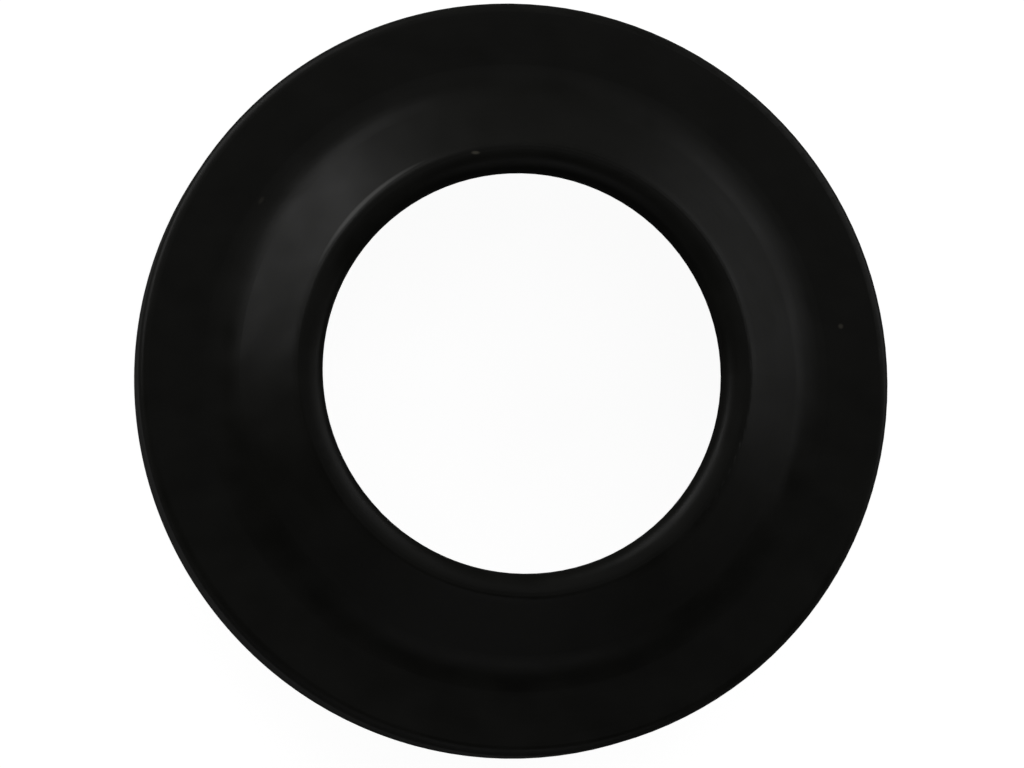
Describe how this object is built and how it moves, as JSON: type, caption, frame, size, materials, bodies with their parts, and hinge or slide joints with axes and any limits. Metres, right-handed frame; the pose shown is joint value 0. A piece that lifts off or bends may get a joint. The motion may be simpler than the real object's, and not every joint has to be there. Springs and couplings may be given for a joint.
{
  "type": "rubber grommet",
  "caption": "Round rubber grommet with a flat flange, a raised hub round its bore, a panel groove and a retaining lip; it lines a panel hole and seals on what passes through.",
  "frame": {"origin": "on the axis of the bore, in the plane of the back face that the ring rests on", "axes": "+Z is the axis of the bore, from the back face towards the hub; the ring is the same all round it"},
  "size_m": [0.038, 0.038, 0.0101],
  "materials": {
    "moulded_rubber": "satin black, straight from the mould"
  },
  "bodies": {
    "root": {"grommet": "moulded_rubber"}
  },
  "joints": []
}
